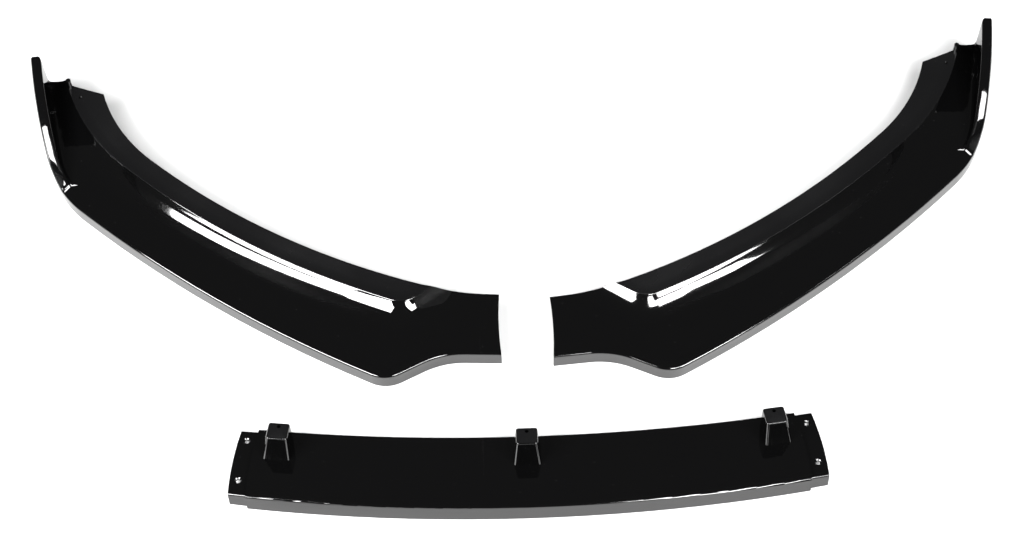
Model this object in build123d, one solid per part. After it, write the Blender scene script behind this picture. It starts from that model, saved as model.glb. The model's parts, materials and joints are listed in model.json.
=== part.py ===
from build123d import *
import os
from math import asin, atan2, cos, degrees, radians, sin, sqrt, tan

# Front splitter lip in three black mouldings, taken apart and laid out on a floor:
# a centre lip with stepped end tabs, and two handed side lips that butt against its steps.
# Millimetres, +Z up, +Y towards the rear of the car, the origin under the middle of the layout.

# Moulded sheet shared by the three pieces
WALL = 3.0
FLANGE_HEIGHT = 22.0
EDGE_RADIUS = 2.6

# Butt joint between the centre lip and a side lip
JOINT_RADIUS = 440.0
JOINT_CLEARANCE = 0.4
STEP = WALL + JOINT_CLEARANCE

# Side lip plan, right-hand piece: origin at the inner front corner, +X outboard
TAB_FRONT_ANGLE = 8.6
TAB_DEPTH = 79.0
BEND_X = 66.5
BEND_RADIUS = 95.0
FANG_X = 134.5
FANG_REACH = 15.7
FANG_RADIUS = 38.0
CORNER_X = 504.0
CORNER_Y = 295.0
CORNER_RADIUS = 140.0
LEADING_BOW = 18.0
FIN_END_X = 522.4
FIN_END_Y = 480.0
FIN_BOW = 4.1
FIN_REAR_Y = 458.5
FIN_END_RADIUS = 3.0
FIN_END_LAP = 0.5

# Side lip rear edge: two tangent arcs from the inner end of the platform, then the slanted outer end
REAR_START_X = 69.0
REAR_START_Y = 92.0
REAR_ANGLE = 23.1
REAR_RADIUS = 931.0
REAR_TURN = 24.2
REAR_END_RADIUS = 218.0
REAR_END_TURN = 31.4
END_ANGLE = 25.6

# Crest of the riser: an inner leg, a corner and two tangent arcs
CREST_LEG = 24.0
CREST_LEG_ANGLE = -27.0
CREST_CORNER_RADIUS = 30.0
CREST_ANGLE = 26.7
CREST_RADIUS = 1037.0
CREST_TURN = 21.0
CREST_END_RADIUS = 277.0
CREST_END_TURN = 30.5

# Riser section: a concave sweep up to the crest and a short concave fall behind it
RISER_RADIUS = 50.0
RISER_FOOT_ANGLE = 3.0
RISER_ANGLE = 46.0
FALL_RADIUS = 45.0
FALL_ANGLE = 18.0
CREST_ROUNDING = 2.0

# Fin at the outer end: an upright hollow wall with a falling rim
FIN_WIDTH = 12.5
FIN_HEIGHT = 78.0
RIM_SLOPE = 6.0
RIM_RADIUS = 390.0
RIM_CHAMFER = 1.8
FIN_FILLET = 8.0
FOOT_DROP = 3.0

# Turned-up lip that closes the outer end of the channel, with a domed stud beside the crest
END_LIP_HEIGHT = 7.0
STUD_DIAMETER = 6.0
STUD_DOME_RADIUS = 9.0
STUD_INBOARD = 5.5
STUD_RISE = 13.5

# Screw mark on the platform
MARK_X = 470.0
MARK_Y = 421.0
MARK_DIAMETER = 4.0
MARK_DEPTH = 0.8

# Centre lip plan: origin at the foremost point of its front flange
CENTRE_HALF_SPAN = 311.5
CENTRE_DEPTH = 95.5
CENTRE_FRONT_RADIUS = 1960.0
CENTRE_REAR_RADIUS = 2150.0

# Stepped-down tabs at the ends of the centre lip, with countersunk screw holes
TAB_LENGTH = 20.0
TAB_END_RADIUS = 400.0
TAB_REAR_INSET = 1.5
TAB_HOLE_DIAMETER = 4.4
TAB_SINK_DIAMETER = 9.0
TAB_HOLE_EDGE = 9.5
TAB_HOLE_FRONT = 19.0
TAB_HOLE_REAR = 12.0

# Upright hollow bosses of the centre lip, each with a pilot hole in its top
BOSS_SPACING = 276.0
BOSS_BASE_WIDTH = 31.0
BOSS_TOP_WIDTH = 24.0
BOSS_BASE_DEPTH = 29.0
BOSS_HEIGHT = 33.0
BOSS_LEAN = 5.0
BOSS_FRONT_DRAFT = 8.0
BOSS_REAR_DRAFT = 3.0
BOSS_CORNER = 3.0
BOSS_TOP_CHAMFER = 1.2
BOSS_REAR_GAP = 10.2
BOSS_WALL = 2.5
BOSS_HOLE_DIAMETER = 4.2
BOSS_HOLE_EDGE = 5.5

# Layout on the floor: where each side lip's inner front corner lies, and how far it is turned
RIGHT_X = 33.5
RIGHT_Y = 191.7
RIGHT_TURN = -4.0
LEFT_X = -25.8
LEFT_Y = 197.3
LEFT_TURN = 5.8

# Length by which blanks run out past the edges that trim them, and how near counts as touching
OVERRUN = 60.0
TOUCH = 0.01


def heading(angle):
    return Vector(cos(radians(angle)), sin(radians(angle)))


def bowed(start, end, bow):
    """Arc between two points that bulges to the right of the way from start to end."""
    start, end = Vector(*start), Vector(*end)
    across = (end - start).normalized()
    middle = (start + end) / 2 + Vector(across.Y, -across.X) * bow
    return ThreePointArc(start, middle, end)


def edges_over(edges, outline):
    """Those of the edges that run over the border of an outline, seen in plan."""
    border = outline.face().outer_wire()
    middles = [(edge, edge @ 0.5) for edge in edges]
    return [edge for edge, at in middles if border.distance_to(Vector(at.X, at.Y)) < TOUCH]


def lip_outline(inset):
    """Plan of the side lip inside its flange, run out past the open inner and rear ends."""
    slope = tan(radians(TAB_FRONT_ANGLE))
    inner = (-OVERRUN, -OVERRUN * slope)
    bend = (BEND_X, BEND_X * slope)
    fang = (FANG_X, -FANG_REACH)
    corner = (CORNER_X, CORNER_Y)
    leading = bowed(fang, corner, LEADING_BOW)
    fin_line = bowed(corner, (FIN_END_X, FIN_END_Y), FIN_BOW)
    fin_end = fin_line @ 1
    run_out = fin_end + (fin_line % 1) * OVERRUN
    front = Polyline(inner, bend, fang)
    back = Polyline(fin_end, run_out, (inner[0], run_out.Y), inner)
    face = make_face(front + leading + fin_line + back).face()
    for point, radius in ((bend, BEND_RADIUS), (fang, FANG_RADIUS), (corner, CORNER_RADIUS)):
        vertex = face.vertices().sort_by_distance(Vector(*point))[0]
        face = face.fillet_2d(radius, [vertex])
    return offset(face, -inset) if inset else Sketch() + face


def blade(inset):
    """Flat blade and its turned-down flange; the outer one has its front edge rounded."""
    block = extrude(lip_outline(inset), FLANGE_HEIGHT - inset)
    if inset:
        return block
    top = block.faces().sort_by(Axis.Z)[-1]
    front = [e for e in top.edges() if e.center().X > -OVERRUN / 2 and e.center().Y < FIN_END_Y]
    return fillet(front, EDGE_RADIUS)


def crest_path():
    """Line of the crest in plan, from behind the rear edge at the inner end to past the outer end."""
    leg_heading = heading(CREST_LEG_ANGLE)
    start = Vector(REAR_START_X, REAR_START_Y)
    leg = Line(start - leg_heading * OVERRUN, start + leg_heading * CREST_LEG)
    corner = JernArc(leg @ 1, leg % 1, CREST_CORNER_RADIUS, CREST_ANGLE - CREST_LEG_ANGLE)
    main = JernArc(corner @ 1, corner % 1, CREST_RADIUS, CREST_TURN)
    end = JernArc(main @ 1, main % 1, CREST_END_RADIUS, CREST_END_TURN)
    run_out = Line(end @ 1, end @ 1 + (end % 1) * OVERRUN)
    return Wire([leg, corner, main, end, run_out])


def crest_height():
    rise = RISER_RADIUS * (cos(radians(RISER_FOOT_ANGLE)) - cos(radians(RISER_ANGLE)))
    return FLANGE_HEIGHT + rise


def platform_height():
    return crest_height() - FALL_RADIUS * (1 - cos(radians(FALL_ANGLE)))


def crest_section(inset):
    """Section across the crest: what is left under the riser's disc and the fall's disc."""
    peak_height = crest_height()
    run = RISER_RADIUS * sin(radians(RISER_ANGLE))
    fall = FALL_RADIUS * sin(radians(FALL_ANGLE))
    riser_centre = (-run, peak_height + RISER_RADIUS * cos(radians(RISER_ANGLE)))
    fall_centre = (fall, peak_height + FALL_RADIUS * cos(radians(FALL_ANGLE)))
    block = Pos((fall - run) / 2, peak_height / 2) * Rectangle(run + fall, peak_height)
    section = block - Pos(*riser_centre) * Circle(RISER_RADIUS + inset)
    section -= Pos(*fall_centre) * Circle(FALL_RADIUS + inset)
    if inset:
        return section
    peak = section.vertices().sort_by(Axis.Y)[-1]
    return fillet(peak, CREST_ROUNDING)


def platform_plan():
    """Plan of everything behind the crest."""
    path = crest_path()
    start, end = path @ 0, path @ 1
    behind = Polyline(end, (start.X, end.Y), start)
    return make_face(path.edges() + behind.edges())


def raised_platform(inset):
    """Riser, crest and platform, filled down to the floor."""
    path = crest_path()
    way = path % 0
    across = Plane(path @ 0, x_dir=(-way.Y, way.X, 0), z_dir=way)
    crest = sweep(across * crest_section(inset), path)
    platform = extrude(platform_plan(), platform_height() - inset)
    return crest + platform


def rim_block(inset):
    """Everything below the fin's rim, which is an arc seen from the side of the car."""
    middle = FIN_REAR_Y + RIM_RADIUS * sin(radians(RIM_SLOPE))
    level = FIN_HEIGHT - RIM_RADIUS * cos(radians(RIM_SLOPE))
    disc = Pos(middle, level) * Circle(RIM_RADIUS - inset)
    length, height = RIM_RADIUS + 2 * OVERRUN, 2 * (FIN_HEIGHT + OVERRUN)
    window = Pos(middle - RIM_RADIUS / 2, 0) * Rectangle(length, height)
    side = Plane((0, 0, 0), x_dir=(0, 1, 0), z_dir=(1, 0, 0))
    return extrude(side * (disc & window), FIN_END_X + OVERRUN)


def fin_strip(inset, width):
    """Plan of a strip along the outer end, from an inset inside the flange to a width inside it."""
    corner = (CORNER_X - OVERRUN, CORNER_Y - OVERRUN)
    reach_x = FIN_END_X + OVERRUN - corner[0]
    end_y = FIN_REAR_Y - inset if inset else FIN_REAR_Y + OVERRUN / 2
    reach_y = end_y - corner[1]
    reach = Pos(*corner) * Rectangle(reach_x, reach_y, align=Align.MIN)
    return (lip_outline(inset) - lip_outline(width)) & reach


def fin(inset):
    """Upright wall under the falling rim; the outer one has its rim edges eased and its foot filleted."""
    plan = fin_strip(inset, FIN_WIDTH - inset)
    wall = extrude(plan, FIN_HEIGHT + OVERRUN) & rim_block(inset)
    if inset:
        return wall
    inside = lip_outline(FIN_WIDTH)
    rim = wall.edges().filter_by(Axis.Z, reverse=True).filter_by_position(Axis.Z, TOUCH, FIN_HEIGHT)
    eased = chamfer(edges_over(rim, lip_outline(0)) + edges_over(rim, inside), RIM_CHAMFER)
    block = extrude(plan, FIN_HEIGHT) + extrude(fin_strip(0, FIN_WIDTH + 2 * FIN_FILLET), FLANGE_HEIGHT)
    foot = block.edges().filter_by_position(Axis.Z, FLANGE_HEIGHT, FLANGE_HEIGHT)
    return eased + (fillet(edges_over(foot, inside), FIN_FILLET) & rim_block(FOOT_DROP))


def body(inset):
    """Side lip filled down to the floor, everywhere one inset inside the outer surface."""
    inside = extrude(lip_outline(inset), FIN_HEIGHT)
    return blade(inset) + (raised_platform(inset) & inside) + fin(inset)


def rear_edge():
    """Rear edge of the platform in plan, from its inner end to the outer end."""
    main = JernArc((REAR_START_X, REAR_START_Y), heading(REAR_ANGLE), REAR_RADIUS, REAR_TURN)
    end = JernArc(main @ 1, main % 1, REAR_END_RADIUS, REAR_END_TURN)
    return Wire([main, end])


def way_out(line, inset):
    """Where a line that starts inside the outline of the lip, less an inset, runs out of it."""
    inside = line & lip_outline(inset)
    return Vector(inside.vertices().sort_by_distance(line @ 0)[-1])


def outer_end():
    """Where the slanted outer end of the channel stops, one lap into the inner face of the fin."""
    start = rear_edge() @ 1
    return way_out(Line(start, start + heading(END_ANGLE) * FIN_END_X), FIN_WIDTH - FIN_END_LAP)


def inward():
    """Way from the outer end into the lip, square to the end."""
    return heading(END_ANGLE - 90)


def end_lip(outer):
    """Lip along the outer end, from the crest to the fin: it follows the channel one height up."""
    start, back = rear_edge() @ 1, inward() * WALL
    end = outer_end() + heading(END_ANGLE) * FIN_WIDTH
    slab = make_face(Polyline(start, end, end + back, start + back, start))
    channel = lip_outline(FIN_WIDTH / 2) - platform_plan()
    return (Pos(0, 0, END_LIP_HEIGHT) * outer) & extrude(slab & channel, crest_height() + END_LIP_HEIGHT)


def end_stud():
    """Domed stud at the outer end, on the platform's side of the crest."""
    line = Line(rear_edge() @ 1, outer_end())
    crossing = (line & platform_plan()).vertices().sort_by_distance(line @ 0)[-1]
    radius = STUD_DIAMETER / 2
    at = Vector(crossing) - heading(END_ANGLE) * STUD_INBOARD + inward() * radius
    top = crest_height() + STUD_RISE
    half = Pos(radius / 2, top / 2) * Rectangle(radius, top)
    above_dome = Pos(radius / 2, top - STUD_DOME_RADIUS / 2) * Rectangle(radius, STUD_DOME_RADIUS)
    above_dome -= Pos(0, top - STUD_DOME_RADIUS) * Circle(STUD_DOME_RADIUS)
    return Pos(at.X, at.Y, 0) * revolve(Plane.XZ * (half - above_dome), Axis.Z)


def screw_mark():
    """Shallow round recess near the outer end of the platform, open above."""
    floor = platform_height() - MARK_DEPTH
    recess = Cylinder(MARK_DIAMETER / 2, WALL, align=(Align.CENTER, Align.CENTER, Align.MIN))
    return Pos(MARK_X, MARK_Y, floor) * recess


def fin_end():
    """Square end of the fin in plan, rounded into its inner face and into its outer face."""
    foot = outer_end()
    inner = JernArc(foot, (0, 1), FIN_REAR_Y - foot.Y, -90)
    outer_face = way_out(Line(inner @ 1, (FIN_END_X + OVERRUN, FIN_REAR_Y)), 0)
    outer = JernArc(outer_face - Vector(FIN_END_RADIUS, 0), (1, 0), FIN_END_RADIUS, -90)
    return Wire([inner, Line(inner @ 1, outer @ 0), outer])


def side_trim():
    """Plan of the finished side lip at its joint end, rear edge and outer end."""
    joint = JernArc((0, 0), (0, 1), JOINT_RADIUS, degrees(asin(TAB_DEPTH / JOINT_RADIUS)))
    rear, end = rear_edge(), fin_end()
    back = [Line(joint @ 1, rear @ 0)] + rear.edges() + [Line(rear @ 1, end @ 0)] + end.edges()
    far_x, far_y = FIN_END_X + OVERRUN, -FANG_REACH - OVERRUN
    front = Polyline(end @ 1, (far_x, (end @ 1).Y), (far_x, far_y), (0, far_y), (0, 0))
    return make_face([joint] + back + front.edges())


def side_lip():
    """Right-hand side lip: a filled body less its inset body, cut to its plan."""
    outer = body(0)
    shell = outer + end_lip(outer) + end_stud() - body(WALL) - screw_mark()
    return shell & extrude(side_trim(), FIN_HEIGHT + OVERRUN)


def front_y(x):
    return CENTRE_FRONT_RADIUS - sqrt(CENTRE_FRONT_RADIUS**2 - x**2)


def rear_y(x):
    return CENTRE_DEPTH + CENTRE_REAR_RADIUS - sqrt(CENTRE_REAR_RADIUS**2 - x**2)


def centre_plan(half_span, front_inset, rear_inset):
    """Plan between the bowed front and the bowed rear of the centre lip, with square ends."""
    window = Pos(0, CENTRE_DEPTH / 2) * Rectangle(2 * half_span, 2 * CENTRE_DEPTH)
    front = Pos(0, CENTRE_FRONT_RADIUS) * Circle(CENTRE_FRONT_RADIUS - front_inset)
    rear = Pos(0, CENTRE_DEPTH + CENTRE_REAR_RADIUS) * Circle(CENTRE_REAR_RADIUS + rear_inset)
    return (window & front) - rear


def bow_ends(plan, half_span, level, radius):
    """Bows both ends of a plan outwards, from the full half span at a level."""
    disc = Pos(half_span - radius, level) * Circle(radius)
    field = Pos(half_span / 2 + OVERRUN, level) * Rectangle(half_span, 4 * CENTRE_DEPTH)
    beyond = field - disc
    return plan - beyond - mirror(beyond, about=Plane.YZ)


def panel_plan(inset, rear_inset):
    plan = centre_plan(CENTRE_HALF_SPAN - inset, inset, rear_inset)
    level = front_y(CENTRE_HALF_SPAN)
    return bow_ends(plan, CENTRE_HALF_SPAN - inset, level, JOINT_RADIUS - inset)


def tab_end():
    return CENTRE_HALF_SPAN + TAB_LENGTH


def tab_front():
    return front_y(tab_end()) + STEP


def tab_plan():
    plan = centre_plan(tab_end(), STEP, TAB_REAR_INSET)
    return bow_ends(plan, tab_end(), tab_front(), TAB_END_RADIUS)


def rounded_front(block):
    top = block.faces().sort_by(Axis.Z)[-1]
    return fillet(top.edges().sort_by(Axis.Y)[0], EDGE_RADIUS)


def stepped_shell():
    """Panel and tabs of one wall, joggled at the step, open below and behind."""
    panel = rounded_front(extrude(panel_plan(0, 0), FLANGE_HEIGHT))
    tabs = rounded_front(extrude(tab_plan(), FLANGE_HEIGHT - STEP))
    under_panel = extrude(panel_plan(WALL, -OVERRUN), FLANGE_HEIGHT - WALL)
    tab_inset = STEP + WALL
    under_tabs = extrude(centre_plan(tab_end() + OVERRUN, tab_inset, -OVERRUN), FLANGE_HEIGHT - tab_inset)
    return panel + tabs - under_panel - under_tabs


def tab_hole(y):
    """Countersunk hole through the right-hand tab at a distance behind the foremost point."""
    end_x = tab_end() - TAB_END_RADIUS + sqrt(TAB_END_RADIUS**2 - (y - tab_front()) ** 2)
    sink_depth = (TAB_SINK_DIAMETER - TAB_HOLE_DIAMETER) / 2
    top = (Align.CENTER, Align.CENTER, Align.MAX)
    shank = Cylinder(TAB_HOLE_DIAMETER / 2, FLANGE_HEIGHT, align=top)
    sink = Cone(TAB_HOLE_DIAMETER / 2, TAB_SINK_DIAMETER / 2, sink_depth, align=top)
    return Pos(end_x - TAB_HOLE_EDGE, y, FLANGE_HEIGHT - STEP) * (shank + sink)


def tab_holes():
    front = tab_hole(tab_front() + TAB_HOLE_FRONT)
    rear = tab_hole(rear_y(CENTRE_HALF_SPAN) - TAB_REAR_INSET - TAB_HOLE_REAR)
    right = [front, rear]
    return right + [mirror(hole, about=Plane.YZ) for hole in right]


def boss_edges(height, inset, lean):
    """Left, right, front and rear of a drafted boss at a height above the panel, less an inset."""
    share = height / BOSS_HEIGHT
    half = (BOSS_BASE_WIDTH + share * (BOSS_TOP_WIDTH - BOSS_BASE_WIDTH)) / 2 - inset
    middle = height * tan(radians(lean))
    front = height * tan(radians(BOSS_FRONT_DRAFT)) + inset
    rear = BOSS_BASE_DEPTH - height * tan(radians(BOSS_REAR_DRAFT)) - inset
    return middle - half, middle + half, front, rear


def drafted_block(low, high, inset, lean):
    """Space inside a boss's drafted faces from one height above the panel to another."""
    left, right, front, rear = boss_edges(low, inset, lean)
    top_left, top_right, top_front, top_rear = boss_edges(high, inset, lean)
    far_face = (top_left - left, rear - top_rear, top_right - left, rear - top_front)
    wedge = Wedge(right - left, high - low, rear - front, *far_face, align=None)
    return Pos(left, rear, low) * Rot(90, 0, 0) * wedge


def boss(lean):
    """Boss on the panel, from half way down its wall: its front is at y = 0, its foot at z = 0."""
    block = drafted_block(-WALL / 2, BOSS_HEIGHT, 0, lean)
    ends = block.faces().sort_by(Axis.Z)
    block = fillet(block.edges() - ends[0].edges() - ends[-1].edges(), BOSS_CORNER)
    return chamfer(block.faces().sort_by(Axis.Z)[-1].edges(), BOSS_TOP_CHAMFER)


def boss_hollow(lean):
    """Space inside a boss, open through the panel below, with its pilot hole."""
    space = drafted_block(-2 * WALL, BOSS_HEIGHT - BOSS_WALL, BOSS_WALL, lean)
    left, right, _, rear = boss_edges(BOSS_HEIGHT, 0, lean)
    pilot = Cylinder(BOSS_HOLE_DIAMETER / 2, 2 * BOSS_WALL)
    return space + Pos((left + right) / 2, rear - BOSS_HOLE_EDGE, BOSS_HEIGHT - BOSS_WALL / 2) * pilot


def boss_place(side):
    """Place of a boss along the bowed rear edge, turned square to it: -1 left, 0 middle, 1 right."""
    pivot = Pos(0, CENTRE_DEPTH + CENTRE_REAR_RADIUS, FLANGE_HEIGHT)
    back = CENTRE_REAR_RADIUS + BOSS_REAR_GAP + BOSS_BASE_DEPTH
    turn = degrees(BOSS_SPACING / CENTRE_REAR_RADIUS)
    return pivot * Rot(0, 0, side * turn) * Pos(0, -back, 0)


def centre_lip():
    """Centre lip as moulded, with its panel level."""
    lip = stepped_shell()
    for side in (-1, 0, 1):
        place, lean = boss_place(side), -side * BOSS_LEAN
        lip = lip + place * boss(lean) - place * boss_hollow(lean)
    for hole in tab_holes():
        lip -= hole
    return lip


def tipped_back(lip):
    """Lets the centre lip down on the toes of its tab flanges and the rear corners of its tabs."""
    toe = tab_front() + WALL
    heel = tab_plan().vertices().sort_by(Axis.Y)[-1].Y
    tip = degrees(atan2(FLANGE_HEIGHT - STEP - WALL, heel - toe))
    tipped = Rot(-tip, 0, 0) * lip
    return Pos(0, 0, -tipped.bounding_box().min.Z) * tipped


right = side_lip()
laid_out = {
    "right_side_lip": Pos(RIGHT_X, RIGHT_Y, 0) * Rot(0, 0, RIGHT_TURN) * right,
    "left_side_lip": Pos(LEFT_X, LEFT_Y, 0) * Rot(0, 0, LEFT_TURN) * mirror(right, about=Plane.YZ),
    "centre_lip": tipped_back(centre_lip()),
}
middle = Compound(list(laid_out.values())).bounding_box().center()
os.makedirs("parts", exist_ok=True)
for name, piece in laid_out.items():
    export_step(Pos(-middle.X, -middle.Y, 0) * piece, f"parts/{name}.step")
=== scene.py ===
import bmesh
import bpy
import json
from math import cos, pi, radians, sin
from mathutils import Matrix, Vector


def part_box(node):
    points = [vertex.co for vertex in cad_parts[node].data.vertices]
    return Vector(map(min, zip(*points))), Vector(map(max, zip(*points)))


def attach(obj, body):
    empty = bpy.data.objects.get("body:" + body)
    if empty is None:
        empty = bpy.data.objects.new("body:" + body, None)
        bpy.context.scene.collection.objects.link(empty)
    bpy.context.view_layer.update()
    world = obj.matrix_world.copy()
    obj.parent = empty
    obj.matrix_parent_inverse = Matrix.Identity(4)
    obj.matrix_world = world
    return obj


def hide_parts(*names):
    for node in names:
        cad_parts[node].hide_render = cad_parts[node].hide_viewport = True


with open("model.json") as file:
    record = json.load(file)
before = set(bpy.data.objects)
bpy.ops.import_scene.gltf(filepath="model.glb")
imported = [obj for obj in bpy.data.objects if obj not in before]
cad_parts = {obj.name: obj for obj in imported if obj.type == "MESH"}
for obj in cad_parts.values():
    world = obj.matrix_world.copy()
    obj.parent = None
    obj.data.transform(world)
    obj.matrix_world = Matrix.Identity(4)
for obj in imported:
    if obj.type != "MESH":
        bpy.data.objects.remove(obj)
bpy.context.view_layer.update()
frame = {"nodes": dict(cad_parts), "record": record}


# Centre lip: the shallow bowed moulding of the middle of the splitter, in black ABS.
# It is injection moulded in one shot, with its bosses, stepped end tabs and screw holes, and lies
# tipped back on its tab flanges. What shows on the car is polished, and what the bumper hides is satin.
PLASTIC_INDEX = 1.53
GLOSS_BLACK = (0.0006, 0.0006, 0.00063, 1.0)
GLOSS_ROUGHNESS = (0.03, 0.075)
GLOSS_RIPPLE = (26.0, 0.0012)
SATIN_BLACK = (0.0015, 0.0015, 0.0016, 1.0)
SATIN_ROUGHNESS = (0.18, 0.28)
SATIN_GRAIN = (900.0, 0.0002)
RELIEF_DETAIL = 2.0
RELIEF_STRENGTH = 0.06
CLOUD_SCALE = 9.0
CLOUD_DETAIL = 5.0
CLOUD_EDGES = (0.35, 0.7)
SPECK_GREY = (0.008, 0.008, 0.008, 1.0)
SPECK_SCALE = 70.0
SPECK_EDGES = (0.02, 0.04)
SMOOTH_ANGLE = radians(50)
WELD_DISTANCE = 1e-6
LEVEL_NORMAL = 0.95
BOSS_TOP_SHARE = 0.8


def noise(tree, place, scale, detail):
    """Noise of a scale and detail over a place."""
    texture = tree.nodes.new("ShaderNodeTexNoise")
    texture.inputs["Scale"].default_value = scale
    texture.inputs["Detail"].default_value = detail
    tree.links.new(place, texture.inputs["Vector"])
    return texture.outputs["Fac"]


def spread(tree, value, edges, ends):
    """A value that runs from the first end to the second as the given one passes between two edges."""
    ramp = tree.nodes.new("ShaderNodeMapRange")
    ramp.inputs["From Min"].default_value = edges[0]
    ramp.inputs["From Max"].default_value = edges[1]
    ramp.inputs["To Min"].default_value = ends[0]
    ramp.inputs["To Max"].default_value = ends[1]
    tree.links.new(value, ramp.inputs["Value"])
    return ramp.outputs["Result"]


def black_plastic(name, colour, roughness, relief):
    """Black ABS with a ripple or grain of a scale and depth, a cloudy gloss, and a few specks of dust."""
    material = bpy.data.materials.new(name)
    material.use_nodes = True
    tree = material.node_tree
    shader = tree.nodes["Principled BSDF"]
    shader.inputs["IOR"].default_value = PLASTIC_INDEX
    place = tree.nodes.new("ShaderNodeTexCoord").outputs["Object"]

    scale, depth = relief
    bump = tree.nodes.new("ShaderNodeBump")
    bump.inputs["Strength"].default_value = RELIEF_STRENGTH
    bump.inputs["Distance"].default_value = depth
    tree.links.new(noise(tree, place, scale, RELIEF_DETAIL), bump.inputs["Height"])
    tree.links.new(bump.outputs["Normal"], shader.inputs["Normal"])

    cloud = noise(tree, place, CLOUD_SCALE, CLOUD_DETAIL)
    tree.links.new(spread(tree, cloud, CLOUD_EDGES, roughness), shader.inputs["Roughness"])

    specks = tree.nodes.new("ShaderNodeTexVoronoi")
    specks.inputs["Scale"].default_value = SPECK_SCALE
    tree.links.new(place, specks.inputs["Vector"])
    dust = spread(tree, specks.outputs["Distance"], SPECK_EDGES, (1.0, 0.0))
    skin = tree.nodes.new("ShaderNodeMix")
    skin.data_type = "RGBA"
    skin.inputs["A"].default_value = colour
    skin.inputs["B"].default_value = SPECK_GREY
    tree.links.new(dust, skin.inputs["Factor"])
    tree.links.new(skin.outputs["Result"], shader.inputs["Base Color"])
    return material


def moulding(node, name, satin_from, satin_to):
    """A smooth copy of a moulded lip that stands for its solid, satin on top between two heights."""
    solid = frame["nodes"][node]
    mesh = bpy.data.meshes.new(name)
    work = bmesh.new()
    work.from_mesh(solid.data)
    bmesh.ops.remove_doubles(work, verts=work.verts, dist=WELD_DISTANCE)
    work.normal_update()
    for face in work.faces:
        height = face.calc_center_median().z
        face.material_index = int(face.normal.z > LEVEL_NORMAL and satin_from < height < satin_to)
    work.to_mesh(mesh)
    work.free()
    # The solid's own normals would keep the copy from being shaded smooth.
    mesh.attributes.remove(mesh.attributes["custom_normal"])
    mesh.shade_smooth()
    mesh.set_sharp_from_angle(angle=SMOOTH_ANGLE)
    mesh.materials.append(black_gloss)
    mesh.materials.append(black_satin)
    piece = bpy.data.objects.new(name, mesh)
    bpy.context.scene.collection.objects.link(piece)
    weigh = piece.modifiers.new("flat faces stay flat", "WEIGHTED_NORMAL")
    weigh.mode = "FACE_AREA_WITH_ANGLE"
    weigh.keep_sharp = True
    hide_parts(node)
    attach(piece, "root")


black_gloss = black_plastic("gloss_black_abs", GLOSS_BLACK, GLOSS_ROUGHNESS, GLOSS_RIPPLE)
black_satin = black_plastic("satin_black_abs", SATIN_BLACK, SATIN_ROUGHNESS, SATIN_GRAIN)
boss_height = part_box("centre_lip")[1][2]
moulding("centre_lip", "centre_moulding", BOSS_TOP_SHARE * boss_height, boss_height)


# Side lips: the handed mouldings of the splitter's corners, of the same black ABS.
# Each is one hollow shell with a blade, a swept riser up to a mounting platform, and an upright fin.
# The platform behind the crest lies against the bumper, so it is left satin.
PLATFORM_BAND = (-0.0005, 0.0022)

mounts = {mount["name"]: mount for mount in frame["record"]["mounts"]}
for hand in ("left", "right"):
    platform = mounts[f"{hand}_platform"]["pos_m"][2]
    band = [platform + rise for rise in PLATFORM_BAND]
    moulding(f"{hand}_side_lip", f"{hand}_moulding", *band)


# Floor: one large sheet of matt grey paper, which runs far beyond the view.
# The pieces lie loose on it, and the studio light burns it out to white.
FLOOR_SIZE = 12.0
FLOOR_GREY = (0.32, 0.32, 0.32, 1.0)
FLOOR_ROUGHNESS = 0.9


def matt(name, colour, roughness):
    """Plain matt material of one colour."""
    material = bpy.data.materials.new(name)
    material.use_nodes = True
    shader = material.node_tree.nodes["Principled BSDF"]
    shader.inputs["Base Color"].default_value = colour
    shader.inputs["Roughness"].default_value = roughness
    return material


paper = bpy.data.meshes.new("floor")
work = bmesh.new()
bmesh.ops.create_grid(work, x_segments=1, y_segments=1, size=FLOOR_SIZE / 2)
work.to_mesh(paper)
work.free()
paper.materials.append(matt("white_sheet", FLOOR_GREY, FLOOR_ROUGHNESS))
floor = bpy.data.objects.new("floor", paper)
bpy.context.scene.collection.objects.link(floor)


# Studio light: level soft boxes high on the camera's side light the floor and draw the bands along the
# risers, and a small light over each fin draws the patch on its rim. Cards that only reflections see keep
# them off the risers beside the fins, the front ends of the rims and the short leg of the left crest.
BOX_RADIANCE = 52.0
BOX_HEIGHT = 2.2
FIN_LIGHT_RADIANCE = 30.0
FIN_LIGHT_HEIGHT = 1.0
FIN_LIGHT_LENGTH = 0.45
CARD_BLACK = (0.006, 0.006, 0.006, 1.0)
CARD_ROUGHNESS = 1.0
FIN_CARD_X = 0.53
FIN_CARD_YZ = ((0.14, 0.14), (0.14, 1.0), (-0.29, 1.0), (-0.29, 0.55))
CORNER_CARD_Y = 0.11
CORNER_CARD_XZ = ((0.56, 0.045), (0.66, 0.045), (0.66, 0.2), (0.56, 0.2))
LEG_CARD_GREY = (0.025, 0.025, 0.025, 1.0)
LEG_CARD = ((-0.0489, -0.04, 0.075), (-0.0509, -0.04, 0.16),
            (-0.0509, -0.125, 0.16), (-0.0489, -0.125, 0.075))
ROOM_WHITE = (1.0, 1.0, 1.0, 1.0)
ROOM_RADIANCE = 0.075


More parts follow.
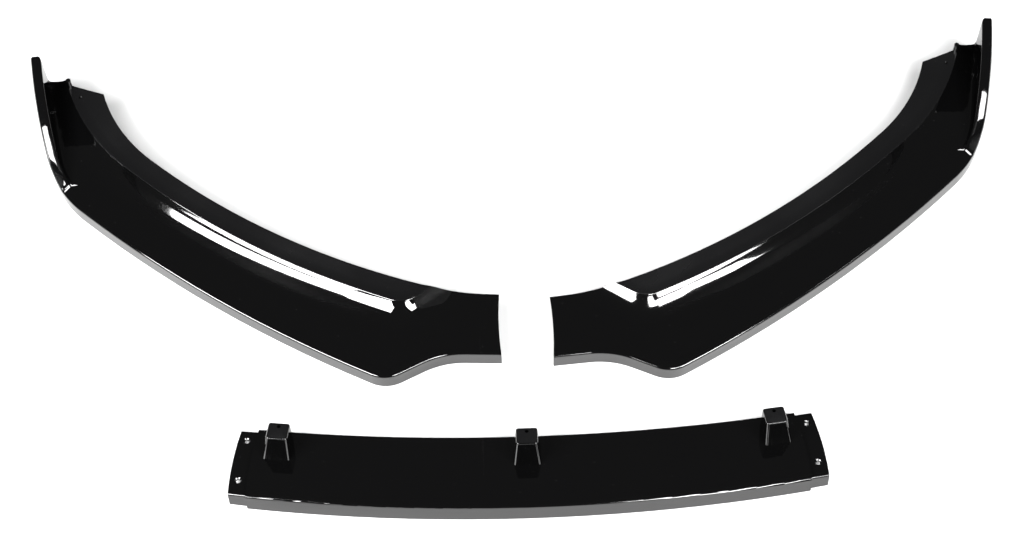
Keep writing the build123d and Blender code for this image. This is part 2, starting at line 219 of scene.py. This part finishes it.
def soft_box(name, corner, heading, length, width, height=BOX_HEIGHT, radiance=BOX_RADIANCE):
    """Level soft box: from its corner it runs a length along the heading, and a width to the right of it."""
    along = Vector((cos(radians(heading)), sin(radians(heading)), 0))
    across = Vector((along.y, -along.x, 0))
    lamp = bpy.data.lights.new(name, "AREA")
    lamp.shape = "RECTANGLE"
    lamp.size = length
    lamp.size_y = width
    lamp.energy = radiance * pi * length * width
    box = bpy.data.objects.new(name, lamp)
    centre = Vector((*corner, height)) + along * length / 2 + across * width / 2
    turn = Matrix((along, -across, Vector((0, 0, 1)))).transposed().to_4x4()
    box.matrix_world = Matrix.Translation(centre) @ turn
    box.visible_camera = False
    bpy.context.scene.collection.objects.link(box)


def fin_light(name, corner, heading, width):
    """Small soft box, low over a fin."""
    soft_box(name, corner, heading, FIN_LIGHT_LENGTH, width, FIN_LIGHT_HEIGHT, FIN_LIGHT_RADIANCE)


def card(name, corners, colour):
    """Upright matt card between its corners, which only reflections see."""
    mesh = bpy.data.meshes.new(name)
    work = bmesh.new()
    work.faces.new([work.verts.new(corner) for corner in corners])
    work.to_mesh(mesh)
    work.free()
    mesh.materials.append(matt(name, colour, CARD_ROUGHNESS))
    sheet = bpy.data.objects.new(name, mesh)
    sheet.visible_camera = False
    sheet.visible_diffuse = False
    sheet.visible_shadow = False
    bpy.context.scene.collection.objects.link(sheet)


soft_box("left_soft_box", corner=(-2.15, -0.10), heading=-56, length=2.1, width=1.32)
soft_box("left_outer_box", corner=(-4.0, -1.38), heading=-25, length=1.9, width=0.8)
soft_box("left_inner_box", corner=(-1.55, -1.0), heading=0, length=0.5, width=0.9)
soft_box("front_soft_box", corner=(0.42, -1.15), heading=0, length=0.6, width=1.5)
soft_box("right_soft_box", corner=(1.05, -0.87), heading=0, length=1.0, width=1.0)
soft_box("right_turned_box", corner=(1.97, -0.87), heading=-54, length=1.05, width=0.5)
soft_box("right_front_box", corner=(1.95, -2.1), heading=0, length=1.4, width=0.5)
fin_light("left_fin_light", corner=(-1.03, 0.10), heading=8, width=0.29)
fin_light("right_fin_light", corner=(0.58, 0.155), heading=-8, width=0.22)
for hand, side in (("left", -1), ("right", 1)):
    card(f"{hand}_card", [(side * FIN_CARD_X, y, z) for y, z in FIN_CARD_YZ], CARD_BLACK)
    card(f"{hand}_corner_card", [(side * x, CORNER_CARD_Y, z) for x, z in CORNER_CARD_XZ], CARD_BLACK)
card("leg_card", LEG_CARD, LEG_CARD_GREY)

room = bpy.data.worlds.new("studio")
room.use_nodes = True
room.node_tree.nodes["Background"].inputs["Color"].default_value = ROOM_WHITE
room.node_tree.nodes["Background"].inputs["Strength"].default_value = ROOM_RADIANCE
bpy.context.scene.world = room


# Camera: above and in front of the pieces, turned a little about its own line of sight.
# Its place, its turn and its focal length are those that fit the outlines of the three lips.
CAMERA_AT = Vector((-0.00078, -1.20173, 2.02875))
CAMERA_AIM = Vector((-0.00832, 0.01771, 0.0))
CAMERA_ROLL = radians(-2.142)
FOCAL_PIXELS = 2000.0
IMAGE_WIDTH = 1024.0
SENSOR_WIDTH = 36.0

sight = (CAMERA_AIM - CAMERA_AT).normalized()
level = sight.cross(Vector((0, 0, 1))).normalized()
above = level.cross(sight)
right = level * cos(CAMERA_ROLL) + above * sin(CAMERA_ROLL)
up = above * cos(CAMERA_ROLL) - level * sin(CAMERA_ROLL)
lens = bpy.data.cameras.new("camera")
lens.sensor_fit = "HORIZONTAL"
lens.sensor_width = SENSOR_WIDTH
lens.lens = FOCAL_PIXELS / IMAGE_WIDTH * SENSOR_WIDTH
camera = bpy.data.objects.new("camera", lens)
turn = Matrix((right, up, -sight)).transposed().to_4x4()
camera.matrix_world = Matrix.Translation(CAMERA_AT) @ turn
bpy.context.scene.collection.objects.link(camera)
bpy.context.scene.camera = camera
bpy.context.scene.view_settings.view_transform = "Standard"
